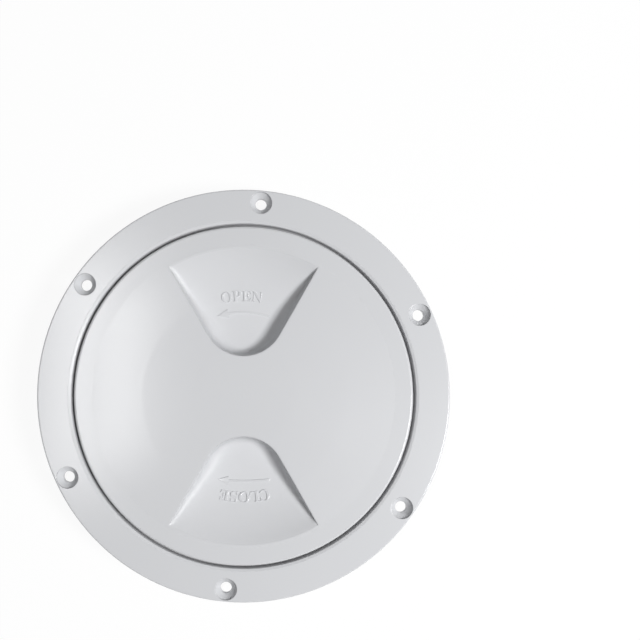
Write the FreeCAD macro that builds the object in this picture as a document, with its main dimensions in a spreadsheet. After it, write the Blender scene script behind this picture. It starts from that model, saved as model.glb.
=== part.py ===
import FreeCAD, Part
import os
import Sketcher

from FreeCAD import Placement, Rotation, Vector

# Screw-in deck inspection plate: a flanged deck ring with a coarse inside thread,
# a screw lid with two finger recesses, and the sealing ring between them.
# Frame: origin on the axis in the deck's surface, +Z out of the deck, millimetres.
# The flange lies on the deck and the threaded neck hangs through its hole.

doc = FreeCAD.newDocument("deck_inspection_plate")
sheet = doc.addObject("Spreadsheet::Sheet", "Sizes")

SIZES = [
    # the size that the others grow from
    ("opening_radius", 76.8, "clear opening inside the neck's thread"),
    # flange of the deck ring
    ("flange_width", 17.2, "width of the flange outside the lid's recess"),
    ("flange_height", 5.4, "top of the flange above the deck"),
    ("flange_edge_round", 0.7, "rounding of the flange's outer top edge"),
    ("lip_round", 1.8, "rounding of the flange's edge beside the lid"),
    ("lip_wall", 2.5, "wall round the lid's recess, above the relief channel"),
    ("seat_height", 1.9, "seat under the lid's rim, above the deck"),
    ("relief_height", 2.2, "height of the channel under the flange"),
    ("relief_land", 3.6, "width of the flat foot outside the channel"),
    ("foot_rib_width", 2.0, "width of the ribs across the channel"),
    ("foot_rib_count", 6, "ribs across the channel, halfway between the screws"),
    # screw holes
    ("screw_count", 6, "countersunk screw holes"),
    ("screw_reach", 10.9, "circle of screw holes, outwards from the lid's recess"),
    ("screw_hole_radius", 2.8, "straight part of a screw hole"),
    ("screw_sink_radius", 5.4, "radius of a countersink"),
    ("screw_sink_drop", 0.8, "depth of the straight rim above a countersink"),
    ("screw_sink_angle", 90.0, "whole angle of a countersink's cone, degrees"),
    ("screw_boss_wall", 3.0, "wall of the boss round a screw hole in the channel"),
    # neck and its thread
    ("neck_depth", 20.0, "depth of the neck below the deck"),
    ("neck_wall", 3.2, "wall of the neck behind its thread"),
    ("neck_end_bevel", 1.0, "bevel that leads the neck into the deck's hole"),
    ("thread_pitch", 6.0, "rise of the thread in one turn"),
    ("thread_depth", 2.0, "height of a thread ridge"),
    ("thread_foot", 3.4, "width of a thread ridge at its foot"),
    ("thread_crest", 1.6, "width of a thread ridge at its crest"),
    ("thread_play", 0.4, "clearance between the two threads, measured across the radius"),
    ("thread_root_overlap", 0.4, "how far a ridge is sunk into its wall"),
    ("neck_thread_turns", 1.5, "turns of thread in the neck"),
    ("neck_thread_start", 16.8, "middle of the lowest neck ridge, below the deck"),
    ("skirt_thread_turns", 1.25, "turns of thread on the lid's skirt"),
    # lid
    ("lid_gap", 1.0, "gap round the lid's edge"),
    ("lid_overhang", 2.3, "how far the lid's rim reaches out past the neck"),
    ("lid_edge_round", 1.1, "rounding of the lid's top edge"),
    ("lid_rim_play", 0.3, "gap between the lid's rim and its seat"),
    ("lid_wall", 3.0, "wall of the lid's face at its edge"),
    ("crown_land", 1.2, "raised middle of the face outside the recesses"),
    ("crown_rise", 1.2, "how far the middle of the face stands above its rim"),
    ("crown_rings", 3, "rings of slowly growing slope that the crown is drawn with"),
    ("skirt_wall", 2.8, "wall of the lid's skirt behind its thread"),
    ("skirt_depth", 16.0, "bottom of the skirt below the deck"),
    ("skirt_end_bevel", 0.8, "bevel that leads the skirt into the neck"),
    ("seat_angle", 5.2, "turn of the closed lid from the line of the screw holes, degrees"),
    ("hub_radius", 10.0, "outside radius of the ring in the middle of the ribs"),
    ("hub_wall", 2.2, "wall of that ring"),
    ("lid_rib_count", 8, "ribs under the lid's face"),
    ("lid_rib_width", 2.2, "width of a rib"),
    ("lid_rib_height", 6.0, "height of the ribs below the face"),
    # finger recesses
    ("recess_run_out", 0.4, "arc where a floor runs out into the face, past the skirt's bore"),
    ("recess_length", 33.6, "centre of a recess's rounded inner end, inwards from that arc"),
    ("recess_side_angle", 30.0, "lean of the straight sides from the middle line, degrees"),
    ("recess_draft", 12.0, "lean of the recess walls, degrees"),
    ("recess_depth", 8.0, "depth below the rim of the face"),
    ("recess_floor_run", 36.5, "deepest line of the floor, inwards from the same arc"),
    ("recess_floor_round", 6.0, "blend between floor and wall where the recess is deepest"),
    ("recess_floor_steps", 2, "short slopes that this blend is drawn with"),
    ("recess_wall", 2.5, "wall of the pocket below the recess"),
    ("pocket_slope", 12.0, "growth in slope from one part of the pocket's underside to the"
                           " next, degrees"),
    # sealing ring
    ("seal_cord_radius", 1.5, "half the thickness of the sealing ring"),
    ("seal_flats", 6, "flats that the round cord is drawn with"),
    ("seal_play", 0.3, "gap between the sealing ring and what it touches when pressed"),
    # small roundings
    ("edge_steps", 2, "short bevels that a small rounding is drawn with"),
]

for row, (name, value, meaning) in enumerate(SIZES, start=1):
    sheet.set(f"A{row}", meaning)
    sheet.set(f"B{row}", str(value))
    sheet.setAlias(f"B{row}", name)

# Sizes that follow from the ones above, kept on the sheet as formulas
DERIVED = [
    ("neck_root_radius", "opening_radius + thread_depth"),
    ("neck_radius", "neck_root_radius + neck_wall"),
    ("lid_radius", "neck_radius + lid_overhang"),
    ("recess_radius", "lid_radius + lid_gap"),
    ("flange_radius", "recess_radius + flange_width"),
    ("screw_circle_radius", "recess_radius + screw_reach"),
    ("skirt_crest_radius", "neck_root_radius - thread_play"),
    ("skirt_radius", "skirt_crest_radius - thread_depth"),
    ("skirt_bore_radius", "skirt_radius - skirt_wall"),
    ("recess_outer_radius", "skirt_bore_radius + recess_run_out"),
    ("crown_radius", "recess_outer_radius + crown_land"),
    ("recess_end_centre", "recess_outer_radius - recess_length"),
    ("recess_end_radius", "recess_end_centre * sin(recess_side_angle)"),
    ("recess_deepest_radius", "recess_outer_radius - recess_floor_run"),
    ("rim_underside", "seat_height + lid_rim_play"),
    ("thread_slope", "(thread_foot - thread_crest) / (2 * thread_depth)"),
    ("seal_mean_radius", "skirt_radius + seal_play + seal_cord_radius"),
    ("seal_height", "rim_underside - seal_play - seal_cord_radius"),
    ("seal_seat", "seal_mean_radius - seal_height + (seal_cord_radius + seal_play) * sqrt(2)"),
    ("seal_seat_radius", "seal_seat + seat_height"),
    ("seal_seat_depth", "seal_seat - neck_root_radius"),
    ("channel_inner", "recess_radius + lip_wall"),
    ("channel_outer", "flange_radius - relief_land"),
    ("skirt_thread_start", "neck_thread_start - thread_pitch * (0.5 + seat_angle / 360)"),
    ("floor_curve", "(recess_floor_run ^ 2 + recess_depth ^ 2) / (2 * recess_depth)"),
    ("floor_centre_height", "flange_height - recess_depth + floor_curve"),
]

for row, (name, formula) in enumerate(DERIVED, start=len(SIZES) + 2):
    sheet.set(f"A{row}", name.replace("_", " "))
    sheet.set(f"B{row}", f"={formula}")
    sheet.setAlias(f"B{row}", name)

doc.recompute()


def size(name):
    """The value of a named size."""
    return float(sheet.get(name))


def bound(formula):
    """A formula on the sheet's names, with each name marked as the sheet's own."""
    names = sorted([n for n, *_ in SIZES + DERIVED], key=len, reverse=True)
    marked = formula
    for number, name in enumerate(names):
        marked = marked.replace(name, f"@{number}@")
    for number, name in enumerate(names):
        marked = marked.replace(f"@{number}@", f"Sizes.{name}")
    return marked


def worked_out(formula):
    """What a formula on the sheet's names comes to."""
    value = sheet.evalExpression(bound(formula))
    return float(getattr(value, "Value", value))


def bind(thing, attribute, formula):
    """Tie one property of an object to a formula on the sheet."""
    thing.setExpression(attribute, bound(formula))


# Sketches


def pin_point(sketch, edge, end, across, up):
    """Hold one end of a sketch edge at two formulas, measured from the origin."""
    for kind, formula in (("DistanceX", across), ("DistanceY", up)):
        value = worked_out(formula)
        index = sketch.addConstraint(Sketcher.Constraint(kind, -1, 1, edge, end, value))
        bind(sketch, f"Constraints[{index}]", formula)


def closed_outline(sketch, corners):
    """A closed outline of straight edges through corners given as formulas.

    A corner with a third formula starts an arc of that radius to the next corner; a
    fourth entry says on which side of the chord the arc's centre lies.
    """
    points = [Vector(worked_out(c[0]), worked_out(c[1]), 0) for c in corners]
    last = len(corners)
    for i, corner in enumerate(corners):
        start, end = points[i], points[(i + 1) % last]
        if len(corner) == 2:
            sketch.addGeometry(Part.LineSegment(start, end))
        else:
            sketch.addGeometry(arc_between(start, end, worked_out(corner[2]), corner[3]))
    ends = [(1, 2) if len(c) == 2 or c[3] > 0 else (2, 1) for c in corners]
    for i in range(last):
        after = (i + 1) % last
        joined = Sketcher.Constraint("Coincident", i, ends[i][1], after, ends[after][0])
        sketch.addConstraint(joined)
    for i, corner in enumerate(corners):
        pin_point(sketch, i, ends[i][0], corner[0], corner[1])
        if len(corner) > 2:
            radius = worked_out(corner[2])
            index = sketch.addConstraint(Sketcher.Constraint("Radius", i, radius))
            bind(sketch, f"Constraints[{index}]", corner[2])


def centred_circle(sketch, up, radius):
    """A circle of a given radius, centred on the sketch's upright axis."""
    middle = Vector(0, worked_out(up), 0)
    circle = Part.Circle(middle, Vector(0, 0, 1), worked_out(radius))
    number = sketch.addGeometry(circle)
    pin_point(sketch, number, 3, "0", up)
    held = Sketcher.Constraint("Radius", number, worked_out(radius))
    bind(sketch, f"Constraints[{sketch.addConstraint(held)}]", radius)


def arc_between(start, end, radius, side):
    """The shorter arc between two points; side 1 puts its centre left of the chord."""
    chord = end - start
    across = Vector(-chord.y, chord.x, 0).normalize() * side
    rise = (radius ** 2 - chord.Length ** 2 / 4) ** 0.5
    middle = (start + end) * 0.5
    centre = middle + across * rise
    top = centre - across * radius
    return Part.Arc(start, top, end)


def plane_of(body, role):
    """One of a body's own origin planes or axes."""
    return next(f for f in body.Origin.OriginFeatures if f.Role == role)


def body_sketch(body, name, role, corners=None, raised=None):
    """A sketch on one of a body's origin planes, lifted off it by a formula."""
    sketch = body.newObject("Sketcher::SketchObject", name)
    sketch.AttachmentSupport = [(plane_of(body, role), "")]
    sketch.MapMode = "FlatFace"
    if raised:
        bind(sketch, "AttachmentOffset.Base.z", raised)
    if corners:
        closed_outline(sketch, corners)
    return sketch


def turned(body, name, corners):
    """A section turned once round the axis."""
    section = body_sketch(body, f"{name}_section", "XZ_Plane", corners)
    feature = body.newObject("PartDesign::Revolution", name)
    feature.Profile = section
    feature.ReferenceAxis = (plane_of(body, "Z_Axis"), [""])
    feature.Angle = 360
    doc.recompute()
    return feature


def eased(across, up, radius, inner=False):
    """The corners of a rounded top edge, drawn as short straight bevels.

    The edge turns down at the section's outer side, or with inner at its inner side.
    """
    steps = int(size("edge_steps"))
    angles = [90 * i / steps for i in range(steps + 1)]
    if inner:
        return [(f"{across} + {radius} * (1 - sin({a}))",
                 f"{up} - {radius} * (1 - cos({a}))") for a in reversed(angles)]
    return [(f"{across} - {radius} * (1 - sin({a}))",
             f"{up} - {radius} * (1 - cos({a}))") for a in angles]


def thread_ridge(body, name, root, crest, start, turns):
    """A right-hand ridge of trapezoid section wound up a wall, from formulas.

    root is the wall's radius and crest the ridge's, so a ridge points inwards when
    crest is the smaller. The ridge is sunk a little into the wall it grows from.
    """
    inward = worked_out(crest) < worked_out(root)
    sunk = f"{root} + thread_root_overlap" if inward else f"{root} - thread_root_overlap"
    foot = "(thread_foot / 2 + thread_root_overlap * thread_slope)"
    corners = [
        (sunk, f"{start} - {foot}"),
        (crest, f"{start} - thread_crest / 2"),
        (crest, f"{start} + thread_crest / 2"),
        (sunk, f"{start} + {foot}"),
    ]
    section = body_sketch(body, f"{name}_section", "XZ_Plane", corners)
    doc.recompute()
    ridge = body.newObject("PartDesign::AdditiveHelix", name)
    ridge.Profile = section
    ridge.ReferenceAxis = (plane_of(body, "Z_Axis"), [""])
    ridge.Mode = "pitch-turns-angle"
    bind(ridge, "Pitch", "thread_pitch")
    bind(ridge, "Turns", turns)
    doc.recompute()
    return ridge


def repeated(body, name, feature, count):
    """Copies of a feature evenly spaced round the axis."""
    pattern = body.newObject("PartDesign::PolarPattern", name)
    pattern.Originals = [feature]
    pattern.Axis = (plane_of(body, "Z_Axis"), [""])
    pattern.Angle = 360
    bind(pattern, "Occurrences", count)
    body.Tip = pattern
    doc.recompute()
    return pattern


# Deck ring: flange, recess and seat for the lid, neck and its thread, one moulding


def deck_ring():
    body = doc.addObject("PartDesign::Body", "deck_ring_body")
    body.Label = "deck_ring"
    turned(body, "ring", [
        ("seal_seat_radius", "seat_height"),
        ("recess_radius", "seat_height"),
        *eased("recess_radius", "flange_height", "lip_round", inner=True),
        *eased("flange_radius", "flange_height", "flange_edge_round"),
        ("flange_radius", "0"),
        ("channel_outer", "0"),
        ("channel_outer", "relief_height"),
        ("channel_inner", "relief_height"),
        ("channel_inner", "0"),
        ("neck_radius", "0"),
        ("neck_radius", "-neck_depth + neck_end_bevel"),
        ("neck_radius - neck_end_bevel", "-neck_depth"),
        ("neck_root_radius", "-neck_depth"),
        ("neck_root_radius", "-seal_seat_depth"),
    ])

    inside_flange = "(relief_height + flange_height) / 2"
    boss = body_sketch(body, "boss_outline", "XY_Plane")
    centred_circle(boss, "screw_circle_radius", "screw_hole_radius + screw_boss_wall")
    post = body.newObject("PartDesign::Pad", "screw_boss")
    post.Profile = boss
    bind(post, "Length", inside_flange)
    doc.recompute()
    repeated(body, "screw_bosses", post, "screw_count")

    half = "foot_rib_width / 2"
    rib_sketch = body_sketch(body, "foot_rib_outline", "XY_Plane", [
        ("channel_inner - foot_rib_width", f"-{half}"),
        ("channel_outer + foot_rib_width / 2", f"-{half}"),
        ("channel_outer + foot_rib_width / 2", half),
        ("channel_inner - foot_rib_width", half),
    ])
    rib = body.newObject("PartDesign::Pad", "foot_rib")
    rib.Profile = rib_sketch
    bind(rib, "Length", inside_flange)
    doc.recompute()
    repeated(body, "foot_ribs", rib, "foot_rib_count")

    hole_sketch = body_sketch(body, "screw_hole_centre", "XY_Plane",
                              raised="flange_height")
    centred_circle(hole_sketch, "screw_circle_radius", "screw_hole_radius")
    doc.recompute()
    hole = body.newObject("PartDesign::Hole", "screw_hole")
    hole.Profile = hole_sketch
    hole.DepthType = "ThroughAll"
    hole.HoleCutType = "Counterdrill"
    hole.HoleCutCustomValues = True
    bind(hole, "Diameter", "2 * screw_hole_radius")
    bind(hole, "HoleCutDiameter", "2 * screw_sink_radius")
    bind(hole, "HoleCutDepth", "screw_sink_drop")
    bind(hole, "HoleCutCountersinkAngle", "screw_sink_angle")
    doc.recompute()
    repeated(body, "screw_holes", hole, "screw_count")

    thread_ridge(body, "neck_thread", "neck_root_radius", "opening_radius",
                 "-neck_thread_start", "neck_thread_turns")
    return body


# Sealing ring round the top of the lid's skirt


def sealing_ring():
    body = doc.addObject("PartDesign::Body", "o_ring_body")
    body.Label = "o_ring"
    flats = int(size("seal_flats"))
    angles = [360 * (i + 0.5) / flats for i in range(flats)]
    turned(body, "cord", [(f"seal_mean_radius + seal_cord_radius * cos({a})",
                           f"seal_height + seal_cord_radius * sin({a})") for a in angles])
    return body


# Screw lid: face, rim, threaded skirt, ribs and the two finger pockets, one moulding


def crown():
    """The corners of the face from its middle to the crown's edge.

    A flat middle is followed by rings whose slope grows by the same amount each.
    """
    rings = int(size("crown_rings"))
    whole = rings * (rings - 1)
    return [(f"crown_radius * {i + 1} / crown_rings",
             f"flange_height + crown_rise * {whole - i * (i + 1)} / {whole}")
            for i in range(rings)]


def lid_shell():
    """The lid without its finger recesses."""
    body = doc.addObject("PartDesign::Body", "lid_shell")
    turned(body, "lid", [
        ("0", "flange_height + crown_rise"),
        *crown(),
        *eased("lid_radius", "flange_height", "lid_edge_round"),
        ("lid_radius", "rim_underside"),
        ("skirt_radius", "rim_underside"),
        ("skirt_radius", "-skirt_depth + skirt_end_bevel"),
        ("skirt_radius - skirt_end_bevel", "-skirt_depth"),
        ("skirt_bore_radius", "-skirt_depth"),
        ("skirt_bore_radius", "flange_height - lid_wall"),
        ("0", "flange_height - lid_wall"),
    ])
    thread_ridge(body, "skirt_thread", "skirt_radius", "skirt_crest_radius",
                 "-skirt_thread_start", "skirt_thread_turns")

    rib_foot = "flange_height - lid_wall - lid_rib_height"
    half = "lid_rib_width / 2"
    rib_sketch = body_sketch(body, "lid_rib_outline", "XY_Plane", [
        ("hub_radius - hub_wall / 2", f"-{half}"),
        ("skirt_bore_radius + skirt_wall / 2", f"-{half}"),
        ("skirt_bore_radius + skirt_wall / 2", half),
        ("hub_radius - hub_wall / 2", half),
    ], raised=rib_foot)
    rib = body.newObject("PartDesign::Pad", "lid_rib")
    rib.Profile = rib_sketch
    bind(rib, "Length", "lid_rib_height + lid_wall / 2")
    doc.recompute()
    repeated(body, "lid_ribs", rib, "lid_rib_count")
    hub_sketch = body_sketch(body, "hub_outline", "XY_Plane", raised=rib_foot)
    centred_circle(hub_sketch, "0", "hub_radius")
    centred_circle(hub_sketch, "0", "hub_radius - hub_wall")
    hub = body.newObject("PartDesign::Pad", "hub")
    hub.Profile = hub_sketch
    bind(hub, "Length", "lid_rib_height + lid_wall / 2 + crown_rise")
    doc.recompute()
    return body


def fan(name, top, draft="recess_draft", grown="0"):
    """A fan-shaped outline drawn down from a height with a draft.

    It has a rounded inner end and straight sides, and runs out past the face's crown.
    At the recess's greatest depth it is wider than the recess by what it is grown.
    """
    drop = f"({top} - flange_height + recess_depth)"
    spread = f"{drop} * tan({draft})"
    narrowed = "recess_depth * tan(recess_draft)"
    end_radius = f"(recess_end_radius - {narrowed} + {grown} + {spread})"
    reach = f"(recess_outer_radius + recess_wall + {spread})"
    side_sine = "sin(recess_side_angle)"
    side_cosine = "cos(recess_side_angle)"
    side_run = f"({reach} - recess_end_centre + {end_radius} * {side_sine})"
    tangent_across = f"{end_radius} * {side_cosine}"
    tangent_up = f"recess_end_centre - {end_radius} * {side_sine}"
    outer_across = f"({tangent_across} + {side_run} * tan(recess_side_angle))"
    outline = doc.addObject("Sketcher::SketchObject", f"{name}_outline")
    bind(outline, "Placement.Base.z", top)
    closed_outline(outline, [
        (f"-{outer_across}", reach),
        (f"-{tangent_across}", tangent_up, end_radius, 1),
        (tangent_across, tangent_up),
        (outer_across, reach),
    ])
    drawn = doc.addObject("Part::Extrusion", f"{name}_fan")
    drawn.Base = outline
    drawn.DirMode = "Normal"
    drawn.Reversed = True
    drawn.Solid = True
    bind(drawn, "LengthFwd", f"{drop} + 2 * recess_wall")
    bind(drawn, "TaperAngle", f"-({draft})")
    return drawn


def above_floor(name, fans, corners):
    """What some fans share with the room over a floor that is turned round the axis.

    The floor runs out into the face in an arc about that axis.
    """
    section = doc.addObject("Sketcher::SketchObject", f"{name}_floor_section")
    section.Placement = Placement(Vector(), Rotation(Vector(1, 0, 0), 90))
    closed_outline(section, corners)
    room = doc.addObject("Part::Revolution", f"{name}_room")
    room.Source = section
    room.Axis = Vector(0, 0, 1)
    room.Angle = 360
    room.Solid = True
    shared = doc.addObject("Part::MultiCommon", name)
    shared.Shapes = [*fans, room]
    doc.recompute()
    return shared


FLOOR_INNER = "(recess_end_centre - recess_end_radius - 2 * recess_wall - lid_wall)"


def finger_recess():
    """The space of one finger recess, with a hollow floor blended into its walls.

    Each further fan cuts the corner between floor and walls with a flatter slope that
    touches the blend's arc, and runs out where the floor has risen past the blend.
    """
    top = "(flange_height + lid_wall)"
    steps = int(size("recess_floor_steps"))
    fans = [fan("finger_recess", top)]
    for i in range(1, steps + 1):
        draft = f"(recess_draft + (90 - recess_draft) * {i} / (recess_floor_steps + 1))"
        inset = f"(tan(45 - recess_draft / 2) - tan(45 - {draft} / 2))"
        fans.append(fan(f"floor_blend_{i}", top, draft, f"-recess_floor_round * {inset}"))
    off = f"({FLOOR_INNER} - recess_deepest_radius)"
    brim = f"recess_deepest_radius + sqrt(floor_curve ^ 2 - (floor_centre_height - {top}) ^ 2)"
    return above_floor("finger_recess", fans, [
        (FLOOR_INNER, top),
        (FLOOR_INNER, f"floor_centre_height - sqrt(floor_curve ^ 2 - {off} ^ 2)",
         "floor_curve", 1),
        (brim, top),
    ])


def finger_pocket():
    """The outside of one pocket below the face, with a floor of straight slopes."""
    top = "(flange_height - lid_wall / 2)"
    curve = "(floor_curve + recess_wall)"
    stretch = f"{curve} / cos(pocket_slope / 2)"
    rise = f"({top} - floor_centre_height)"
    brim = (f"recess_deepest_radius + ({curve} + {rise} * cos(2 * pocket_slope))"
            " / sin(2 * pocket_slope)")
    return above_floor("finger_pocket", [fan("finger_pocket", top, grown="recess_wall")], [
        (FLOOR_INNER, top),
        (FLOOR_INNER, f"floor_centre_height - {curve}"),
        (f"recess_deepest_radius + {stretch} * sin(pocket_slope / 2)",
         f"floor_centre_height - {curve}"),
        (f"recess_deepest_radius + {stretch} * sin(1.5 * pocket_slope)",
         f"floor_centre_height - {stretch} * cos(1.5 * pocket_slope)"),
        (brim, top),
    ])


def opposite(source, name):
    """The same form on the other side of the axis."""
    twin = doc.addObject("Part::Mirroring", name)
    twin.Source = source
    twin.Normal = Vector(0, 1, 0)
    return twin


def screw_lid():
    shell = lid_shell()
    cut = finger_recess()
    pocket = finger_pocket()
    walls = doc.addObject("Part::MultiFuse", "lid_with_pockets")
    walls.Shapes = [shell, pocket, opposite(pocket, "finger_pocket_opposite")]
    walls.Refine = False
    spaces = doc.addObject("Part::MultiFuse", "finger_recesses")
    spaces.Shapes = [cut, opposite(cut, "finger_recess_opposite")]
    spaces.Refine = False
    doc.recompute()
    lid = doc.addObject("Part::Cut", "screw_lid")
    lid.Label = "screw_lid"
    lid.Base = walls
    lid.Tool = spaces
    lid.Refine = False
    lid.Placement = Placement(Vector(), Rotation(Vector(0, 0, 1), 0))
    bind(lid, "Placement.Rotation.Angle", "seat_angle")
    doc.recompute()
    return lid


pieces = [deck_ring(), sealing_ring(), screw_lid()]
doc.recompute()

for thing in doc.Objects:
    if "Invalid" in thing.State or "Error" in thing.State:
        raise RuntimeError(f"{thing.Name} failed: {thing.State}")

os.makedirs("parts", exist_ok=True)
for piece in pieces:
    shape = piece.Shape
    if shape.isNull() or not shape.isValid():
        raise RuntimeError(f"{piece.Label} has no valid shape")
    shape.exportStep(os.path.join("parts", f"{piece.Label}.step"))
    print(piece.Label, len(shape.Solids), "solid", round(shape.Volume), "mm3")
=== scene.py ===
import math

import bpy
from mathutils import Matrix, Vector


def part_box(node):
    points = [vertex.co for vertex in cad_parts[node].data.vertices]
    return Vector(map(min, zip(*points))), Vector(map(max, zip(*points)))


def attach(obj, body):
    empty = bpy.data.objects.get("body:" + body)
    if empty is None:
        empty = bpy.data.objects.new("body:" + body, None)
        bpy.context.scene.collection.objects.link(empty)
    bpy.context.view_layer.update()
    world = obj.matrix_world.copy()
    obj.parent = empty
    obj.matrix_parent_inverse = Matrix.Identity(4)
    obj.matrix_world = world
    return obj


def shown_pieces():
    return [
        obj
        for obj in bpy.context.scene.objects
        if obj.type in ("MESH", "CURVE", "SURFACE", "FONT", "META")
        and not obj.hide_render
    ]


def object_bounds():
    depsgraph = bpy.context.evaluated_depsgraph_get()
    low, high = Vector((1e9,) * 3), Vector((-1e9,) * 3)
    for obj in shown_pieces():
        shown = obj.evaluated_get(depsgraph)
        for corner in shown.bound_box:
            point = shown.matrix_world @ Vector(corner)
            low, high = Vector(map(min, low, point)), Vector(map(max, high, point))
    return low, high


# Looks of the screw-in deck inspection plate: satin moulded plastic, a black sealing
# ring, and the raised words and arrows in the lid's finger recesses.
# Metres, in the solids' own frame: the axis is Z and the deck's surface is z = 0.

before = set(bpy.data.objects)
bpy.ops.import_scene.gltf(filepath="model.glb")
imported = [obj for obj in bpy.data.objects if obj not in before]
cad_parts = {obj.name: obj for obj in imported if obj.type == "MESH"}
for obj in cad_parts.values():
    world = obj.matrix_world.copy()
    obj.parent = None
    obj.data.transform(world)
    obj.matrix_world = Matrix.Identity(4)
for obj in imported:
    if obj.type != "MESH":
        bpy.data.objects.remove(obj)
solid_low, solid_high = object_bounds()

MM = 0.001
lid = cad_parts["screw_lid"]
deck_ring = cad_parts["deck_ring"]
sealing_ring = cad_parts["o_ring"]

# The closed lid's line of recesses, turned a little from the line of the screw holes
LID_TURN = math.radians(5.2)
RIGHT = Vector((math.cos(LID_TURN), math.sin(LID_TURN), 0))
UP = Vector((-math.sin(LID_TURN), math.cos(LID_TURN), 0))
OUT = Vector((0, 0, 1))


def in_view(right, up, out):
    """A place given along the lid's own right, up and out directions."""
    return RIGHT * right + UP * up + OUT * out


# Raised words and arrows
#
# A reach is the distance from the axis to a piece's middle. The words and arrows lie on
# the floors of the recesses, which slope, so every point is let down on its own.

OPEN_WORD_REACH = 50.5 * MM
OPEN_WORD_ASIDE = -0.9 * MM
CLOSE_WORD_REACH = 51.2 * MM
CLOSE_WORD_ASIDE = -0.5 * MM
WORD_HEIGHT = 5.4 * MM
CAPITAL_SHARE = 0.71  # a capital's height in the font's size
CURVE_STEPS = 5

OPEN_ARROW_REACH = 42.3 * MM
CLOSE_ARROW_REACH = 43.2 * MM
CLOSE_ARROW_BEND = 110 * MM
SHAFT_LENGTH = 21.0 * MM
SHAFT_WIDTH = 1.1 * MM
SHAFT_CUTS = 12
HEAD_LENGTH = 5.5 * MM
HEAD_WIDTH = 4.4 * MM

RELIEF = 0.4 * MM
SUNK = 0.15 * MM
WORD_SLOPE = 0.12 * MM
ARROW_SLOPE = 0.24 * MM
CREASE = math.radians(30)
SAME_PLACE = 0.1 * MM

# Capitals with serifs, from the upright bold letters of the mathematical alphabet
OPEN_LETTERS = "\U0001D40E\U0001D40F\U0001D404\U0001D40D"
CLOSE_LETTERS = "\U0001D402\U0001D40B\U0001D40E\U0001D412\U0001D404"

UPPER, LOWER = 0, math.pi  # the turn from the upper recess to each one
LEFTWARD, RIGHTWARD = -1, 1  # as seen from the axis, in either recess


def only(thing):
    """Select one object alone and make it the active one."""
    bpy.ops.object.select_all(action="DESELECT")
    thing.select_set(True)
    bpy.context.view_layer.objects.active = thing


def select_where(piece, wanted):
    """In edit mode, select the vertices whose place passes a test."""
    bpy.ops.mesh.select_all(action="DESELECT")
    bpy.ops.object.mode_set(mode="OBJECT")
    for vertex in piece.data.vertices:
        vertex.select = wanted(vertex.co)
    bpy.ops.object.mode_set(mode="EDIT")


def bend(piece, reach, radius):
    """Bend a flat piece to an arc of a radius, its middle at a reach from the axis."""
    for vertex in piece.data.vertices:
        angle = vertex.co.x / radius
        out = radius + vertex.co.y
        vertex.co = (out * math.sin(angle), out * math.cos(angle) + reach - radius,
                     vertex.co.z)


def lay_in_recess(piece, recess):
    """Turn a piece to one recess, let it down on the floor and fix it to the lid."""
    only(piece)
    piece.data.transform(Matrix.Rotation(LID_TURN + recess, 4, "Z"))
    for vertex in piece.data.vertices:
        above = Vector((vertex.co.x, vertex.co.y, 2 * solid_high.z))
        _, recess_floor, _, _ = lid.ray_cast(above, -OUT)
        vertex.co.z += recess_floor.z
    bpy.ops.object.shade_smooth_by_angle(angle=CREASE)
    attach(piece, "lid")


def raised_word(name, letters, recess, reach, aside):
    """A raised word bent round the axis in one recess, moved aside by a little."""
    bpy.ops.object.text_add()
    piece = bpy.context.object
    piece.name = name
    text = piece.data
    text.body = letters
    text.align_x = "CENTER"
    text.align_y = "CENTER"
    text.size = WORD_HEIGHT / CAPITAL_SHARE
    text.resolution_u = CURVE_STEPS
    text.extrude = (RELIEF + SUNK) / 2 - WORD_SLOPE
    text.bevel_depth = WORD_SLOPE
    text.bevel_resolution = 1
    text.offset = -WORD_SLOPE
    only(piece)
    bpy.ops.object.convert(target="MESH")
    piece = bpy.context.object
    piece.data.name = name
    corners = [vertex.co for vertex in piece.data.vertices]
    across, along = [(min(c[i] for c in corners) + max(c[i] for c in corners)) / 2
                     for i in (0, 1)]
    lift = (RELIEF - SUNK) / 2
    piece.data.transform(Matrix.Translation((aside - across, -along, lift)))
    bend(piece, reach, reach)
    lay_in_recess(piece, recess)


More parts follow.
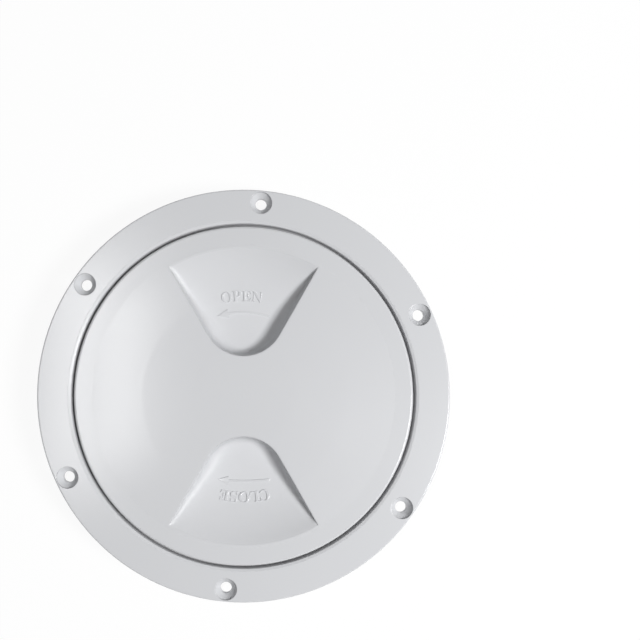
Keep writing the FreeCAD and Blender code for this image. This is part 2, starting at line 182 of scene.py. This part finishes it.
def raised_arrow(name, recess, points, reach, radius):
    """A raised arrow bent to a radius, its head on the side that it points to."""
    bpy.ops.object.select_all(action="DESELECT")
    bpy.ops.mesh.primitive_plane_add(size=1)
    piece = bpy.context.object
    piece.name = name
    bpy.ops.object.mode_set(mode="EDIT")
    bpy.ops.mesh.select_all(action="SELECT")
    bpy.ops.transform.resize(value=(SHAFT_LENGTH, SHAFT_WIDTH, 1))
    middle = points * -HEAD_LENGTH / 2
    bpy.ops.transform.translate(value=(middle, 0, 0))
    end = middle + points * SHAFT_LENGTH / 2
    select_where(piece, lambda place: abs(place.x - end) < SAME_PLACE)
    bpy.ops.mesh.extrude_region_move(TRANSFORM_OT_translate={"value": (0, 0, 0)})
    bpy.ops.transform.resize(value=(1, HEAD_WIDTH / SHAFT_WIDTH, 1))
    bpy.ops.mesh.extrude_region_move(
        TRANSFORM_OT_translate={"value": (points * HEAD_LENGTH, 0, 0)})
    bpy.ops.mesh.merge(type="CENTER")
    bpy.ops.mesh.select_all(action="SELECT")
    for cut in range(1, SHAFT_CUTS):
        across = middle + SHAFT_LENGTH * (cut / SHAFT_CUTS - 1 / 2)
        bpy.ops.mesh.bisect(plane_co=(across, 0, 0), plane_no=(1, 0, 0))
        bpy.ops.mesh.select_all(action="SELECT")
    bpy.ops.object.mode_set(mode="OBJECT")
    piece.data.transform(Matrix.Translation(OUT * RELIEF))
    bend(piece, reach, radius)
    thick = piece.modifiers.new("thickness", "SOLIDIFY")
    thick.thickness = RELIEF + SUNK
    thick.offset = -1
    slopes = piece.modifiers.new("slopes", "BEVEL")
    slopes.width = ARROW_SLOPE
    slopes.segments = 2
    only(piece)
    for step in (thick, slopes):
        bpy.ops.object.modifier_apply(modifier=step.name)
    lay_in_recess(piece, recess)


raised_word("word_open", OPEN_LETTERS, UPPER, OPEN_WORD_REACH, OPEN_WORD_ASIDE)
raised_word("word_close", CLOSE_LETTERS, LOWER, CLOSE_WORD_REACH, CLOSE_WORD_ASIDE)
raised_arrow("arrow_open", UPPER, LEFTWARD, OPEN_ARROW_REACH, OPEN_ARROW_REACH)
raised_arrow("arrow_close", LOWER, RIGHTWARD, CLOSE_ARROW_REACH, CLOSE_ARROW_BEND)


# Finishes

PALE_GREY = (0.598, 0.604, 0.620, 1)
DULL_GREY = (0.578, 0.584, 0.601, 1)
BLOTCHES = 18
ROUGHNESS_LOW, ROUGHNESS_SPREAD = 0.19, 0.04
ROUGHNESS_BLOTCHES = 900
PLASTIC_IOR = 1.5

# The fine grain of the mould, and the mark of its gate on the lid's middle
GRAIN_BLOTCHES = 2600
GRAIN_SHARE = 0.5
GRAIN_HEIGHT = 0.03 * MM
BUMP_STRENGTH = 0.5
GATE_RADIUS = 1.1 * MM
GATE_HEIGHT = 4

# Edges are drawn softer than the solids have them: a little on the flange, more on the
# lid's face, whose crown falls away from its top, and the most down in the recesses,
# which are duller too.
EDGE_SOFTNESS = 0.5 * MM
RIM_SOFTNESS = 1.2 * MM
HOLLOW_SOFTNESS = 3.8 * MM
SOFTNESS_SAMPLES = 6
INNER_FACE = 74.0 * MM
FACE_TOP = solid_high.z
FACE_FALL = 1.2 * MM / (75.2 * MM) ** 2  # times the distance from the axis, squared
HOLLOW_FADE = 1.0 * MM
HOLLOW_DULLNESS = 0.18

# Painted shade: the bottom of the seam between ring and lid, on the ring, is painted a darker
# grey, standing in for the shade in the narrow gap.
SEAM_INNER = 84.4 * MM
SEAM_OUTER = 87.0 * MM
SEAM_TOP = 4.7 * MM
SEAM_FADE = 0.8 * MM
SEAM_FOOT = 1.6 * MM
SEAM_SHADE_GREY = (0.32, 0.32, 0.33, 1)

RUBBER_BLACK = (0.018, 0.018, 0.019, 1)
RUBBER_WORN = (0.045, 0.045, 0.046, 1)
RUBBER_BLOTCHES = 140
RUBBER_ROUGHNESS_LOW, RUBBER_ROUGHNESS_SPREAD = 0.55, 0.15
RUBBER_ROUGHNESS_BLOTCHES = 700
RUBBER_GRAIN_BLOTCHES = 3000
RUBBER_BUMP_STRENGTH = 0.4

# A Mix node's sockets for each kind of data: the two to mix, and the result
MIX_SOCKETS = {"RGBA": (6, 7, 2), "VECTOR": (4, 5, 1)}


class Signal:
    """A number that varies over a surface; sums on it add the nodes they need."""

    def __init__(self, nodes, socket):
        self.nodes = nodes
        self.socket = socket

    def _sum(self, operation, *values):
        return self.nodes.number("ShaderNodeMath", {"operation": operation}, *values)

    def __add__(self, other):
        return self._sum("ADD", self, other)

    __radd__ = __add__

    def __mul__(self, other):
        return self._sum("MULTIPLY", self, other)

    __rmul__ = __mul__

    def __sub__(self, other):
        return self._sum("SUBTRACT", self, other)

    def __rsub__(self, other):
        return self._sum("SUBTRACT", other, self)

    def __truediv__(self, other):
        return self._sum("DIVIDE", self, other)

    def __pow__(self, other):
        return self._sum("POWER", self, other)

    def below(self, other):
        return self._sum("LESS_THAN", self, other)

    def at_least(self, other):
        return self._sum("MAXIMUM", self, other)

    def at_most(self, other):
        return self._sum("MINIMUM", self, other)


class Nodes:
    """A tree of shader nodes, and the ways to add to it."""

    def __init__(self, tree):
        self.tree = tree

    def node(self, kind, settings=None, *values, **named):
        """A node of a kind, its settings made first, then its sockets by order or name."""
        node = self.tree.nodes.new(kind)
        for setting, value in (settings or {}).items():
            setattr(node, setting, value)
        sockets = list(enumerate(values))
        sockets += [(name.replace("_", " "), value) for name, value in named.items()]
        for socket, value in sockets:
            self.feed(node.inputs[socket], value)
        return node

    def feed(self, socket, value):
        """Link a signal or a socket to a socket, or set a constant on it."""
        if isinstance(value, Signal):
            value = value.socket
        if isinstance(value, bpy.types.NodeSocket):
            self.tree.links.new(value, socket)
        else:
            socket.default_value = value

    def number(self, kind, settings=None, *values, **named):
        return Signal(self, self.node(kind, settings, *values, **named).outputs[0])


class Finish(Nodes):
    """A material, whose patterns lie on each piece's Object coordinates."""

    def __init__(self, name):
        self.material = bpy.data.materials.new(name)
        self.material.use_nodes = True
        super().__init__(self.material.node_tree)
        self.shader = next(n for n in self.tree.nodes if n.type == "BSDF_PRINCIPLED")
        self.coordinates = self.node("ShaderNodeTexCoord").outputs["Object"]

    def noise(self, scale, detail=2.0):
        """Soft noise from 0 to 1 with about so many blotches to a metre."""
        return self.number("ShaderNodeTexNoise", None, Vector=self.coordinates,
                           Scale=scale, Detail=detail)

    def _mix(self, kind, share, first, second):
        one, other, result = MIX_SOCKETS[kind]
        mixed = self.node("ShaderNodeMix", {"data_type": kind})
        for socket, value in ((0, share), (one, first), (other, second)):
            self.feed(mixed.inputs[socket], value)
        return mixed.outputs[result]

    def blend(self, share, first, second):
        """A colour between two, the second where share is 1."""
        return self._mix("RGBA", share, first, second)

    def between(self, share, first, second):
        """A direction between two, the second where share is 1."""
        return self._mix("VECTOR", share, first, second)

    def look(self, colour, roughness):
        self.feed(self.shader.inputs["Base Color"], colour)
        self.feed(self.shader.inputs["Roughness"], roughness)

    def bump(self, strength, height, normal=None):
        """Raise a fine relief on the surface, over softened normals where given."""
        relief = self.node("ShaderNodeBump", None, Strength=strength,
                           Distance=GRAIN_HEIGHT, Height=height)
        if normal:
            self.feed(relief.inputs["Normal"], normal)
        self.feed(self.shader.inputs["Normal"], relief.outputs[0])

    def places(self):
        """The three coordinates of a point on the piece."""
        split = self.node("ShaderNodeSeparateXYZ", None, self.coordinates)
        return [Signal(self, s) for s in split.outputs]

    def give(self, piece):
        piece.data.materials.clear()
        piece.data.materials.append(self.material)


def plastic(name):
    """Satin plastic's finish, with the pale grey, the roughness and the grain for it."""
    finish = Finish(name)
    finish.shader.inputs["IOR"].default_value = PLASTIC_IOR
    colour = finish.blend(finish.noise(BLOTCHES, detail=3), PALE_GREY, DULL_GREY)
    roughness = finish.noise(ROUGHNESS_BLOTCHES) * ROUGHNESS_SPREAD + ROUGHNESS_LOW
    grain = finish.noise(GRAIN_BLOTCHES, detail=4) * GRAIN_SHARE
    return finish, colour, roughness, grain


def moulded_plastic():
    """The plastic of the ring and the lid, with softened edges, the gate's mark, and painted
    shade at the bottom of the seam.
    """
    finish, colour, roughness, grain = plastic("moulded_plastic")
    x, y, z = finish.places()
    from_axis = (x * x + y * y) ** 0.5

    inside = from_axis.below(INNER_FACE)
    below_face = FACE_TOP - z - from_axis * from_axis * FACE_FALL
    in_hollow = (below_face / HOLLOW_FADE).at_least(0).at_most(1) * inside
    edges, rims, hollows = [
        finish.node("ShaderNodeBevel", {"samples": SOFTNESS_SAMPLES}, Radius=softness).outputs[0]
        for softness in (EDGE_SOFTNESS, RIM_SOFTNESS, HOLLOW_SOFTNESS)]
    softened = finish.between(in_hollow, finish.between(inside, edges, rims), hollows)
    gate = (1 - from_axis / GATE_RADIUS).at_least(0) * GATE_HEIGHT
    finish.bump(BUMP_STRENGTH, grain + gate, softened)

    # Painted shade: a darker grey mixed into the colour at the bottom of the seam, where the gap
    # gets little light
    down_seam = ((SEAM_TOP - z) / SEAM_FADE).at_least(0).at_most(1)
    across_seam = from_axis.below(SEAM_OUTER) - from_axis.below(SEAM_INNER)
    seam_shade = down_seam * across_seam * (1 - z.below(SEAM_FOOT))
    finish.look(finish.blend(seam_shade, colour, SEAM_SHADE_GREY),
                roughness + in_hollow * HOLLOW_DULLNESS)
    return finish


def lettering_plastic():
    """The same plastic on the raised words and arrows, whose edges stay crisp."""
    finish, colour, roughness, grain = plastic("lettering_plastic")
    finish.look(colour, roughness)
    finish.bump(BUMP_STRENGTH, grain)
    return finish


def seal_rubber():
    """Black rubber, matt and slightly dusty."""
    finish = Finish("seal_rubber")
    colour = finish.blend(finish.noise(RUBBER_BLOTCHES, detail=4), RUBBER_BLACK, RUBBER_WORN)
    roughness = finish.noise(RUBBER_ROUGHNESS_BLOTCHES) * RUBBER_ROUGHNESS_SPREAD
    finish.look(colour, roughness + RUBBER_ROUGHNESS_LOW)
    finish.bump(RUBBER_BUMP_STRENGTH, finish.noise(RUBBER_GRAIN_BLOTCHES, detail=4))
    return finish


moulded = moulded_plastic()
lettering = lettering_plastic()
own = {lid: moulded, deck_ring: moulded, sealing_ring: seal_rubber()}
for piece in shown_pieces():
    own.get(piece, lettering).give(piece)


# Floor, lights and camera

FLOOR_SIZE = 6
PAPER_WHITE = (0.9, 0.9, 0.9, 1)
PAPER_ROUGHNESS = 0.9
PAPER_GLOW = 0.93
ROOM_COLOUR = (0.96, 0.98, 1.0, 1)
ROOM_STRENGTH = 0.05
LAMP_REACH = 1.2


def white_to_the_eye(nodes, light, share):
    """Mix pure white over a shader, by a share, where the eye or a reflection sees it."""
    path = nodes.node("ShaderNodeLightPath")
    seen = Signal(nodes, path.outputs["Is Camera Ray"])
    for ray in ("Is Glossy Ray", "Is Transmission Ray"):
        seen = seen.at_least(path.outputs[ray])
    white = nodes.node("ShaderNodeEmission").outputs[0]
    return nodes.node("ShaderNodeMixShader", None, seen * share, light, white).outputs[0]


bpy.ops.object.select_all(action="DESELECT")
bpy.ops.mesh.primitive_plane_add(size=FLOOR_SIZE, location=(0, 0, solid_low.z))
floor = bpy.context.object
floor.name = "floor"
paper = Finish("paper")
paper.look(PAPER_WHITE, PAPER_ROUGHNESS)
paper.feed(paper.tree.nodes["Material Output"].inputs["Surface"],
           white_to_the_eye(paper, paper.shader.outputs[0], PAPER_GLOW))
paper.give(floor)

world = bpy.data.worlds.new("studio")
bpy.context.scene.world = world
world.use_nodes = True
studio = Nodes(world.node_tree)
room = studio.tree.nodes["Background"]
studio.feed(room.inputs["Color"], ROOM_COLOUR)
studio.feed(room.inputs["Strength"], ROOM_STRENGTH)
studio.feed(studio.tree.nodes["World Output"].inputs["Surface"],
            white_to_the_eye(studio, room.outputs[0], 1.0))


def from_side(turn, lean):
    """A lamp's place, turned from the view's right and leaning out from the axis."""
    turn, lean = math.radians(turn), math.radians(lean)
    flat = math.sin(lean)
    along = in_view(flat * math.cos(turn), flat * math.sin(turn), math.cos(lean))
    return along * LAMP_REACH


def lamp(name, place, size, watts):
    """A soft lamp that faces the plate's middle, of a size across and along its lean."""
    bpy.ops.object.light_add(type="AREA", location=place)
    light = bpy.context.object
    light.name = name
    light.data.shape = "RECTANGLE"
    light.data.size, light.data.size_y = size
    light.data.energy = watts
    light.rotation_euler = place.to_track_quat("Z", "Y").to_euler()


lamp("key_lamp", from_side(-17, 38), (0.32, 0.32), 14.9)
lamp("left_softbox", from_side(178, 18), (0.50, 0.12), 2.35)
lamp("left_end", from_side(142, 18), (0.20, 0.10), 0.28)
lamp("right_softbox", from_side(-25, 14), (0.12, 0.12), 0.06)


# The photograph's frame is 640 pixels wide and shows the plate from straight above a
# point beside its middle; the lens is shifted to bring the plate to its place.
FRAME_PIXELS = 640
EYE_HEIGHT = 0.340
EYE_FOOT = in_view(5.2 * MM, 11.0 * MM, 0)
FOOT_PIXEL = (254.0, 374.0)
PIXEL_AT_FLANGE = 0.4955 * MM
SENSOR_WIDTH = 36

bpy.ops.object.camera_add()
camera = bpy.context.object
camera.name = "camera"
flange_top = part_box("deck_ring")[1].z
camera.location = EYE_FOOT + OUT * (flange_top + EYE_HEIGHT)
camera.rotation_euler = (0, 0, LID_TURN)
camera.data.sensor_width = SENSOR_WIDTH
camera.data.lens = SENSOR_WIDTH * EYE_HEIGHT / (FRAME_PIXELS * PIXEL_AT_FLANGE)
camera.data.shift_x = (FRAME_PIXELS / 2 - FOOT_PIXEL[0]) / FRAME_PIXELS
camera.data.shift_y = (FOOT_PIXEL[1] - FRAME_PIXELS / 2) / FRAME_PIXELS
bpy.context.scene.camera = camera

bpy.context.scene.view_settings.view_transform = "Standard"
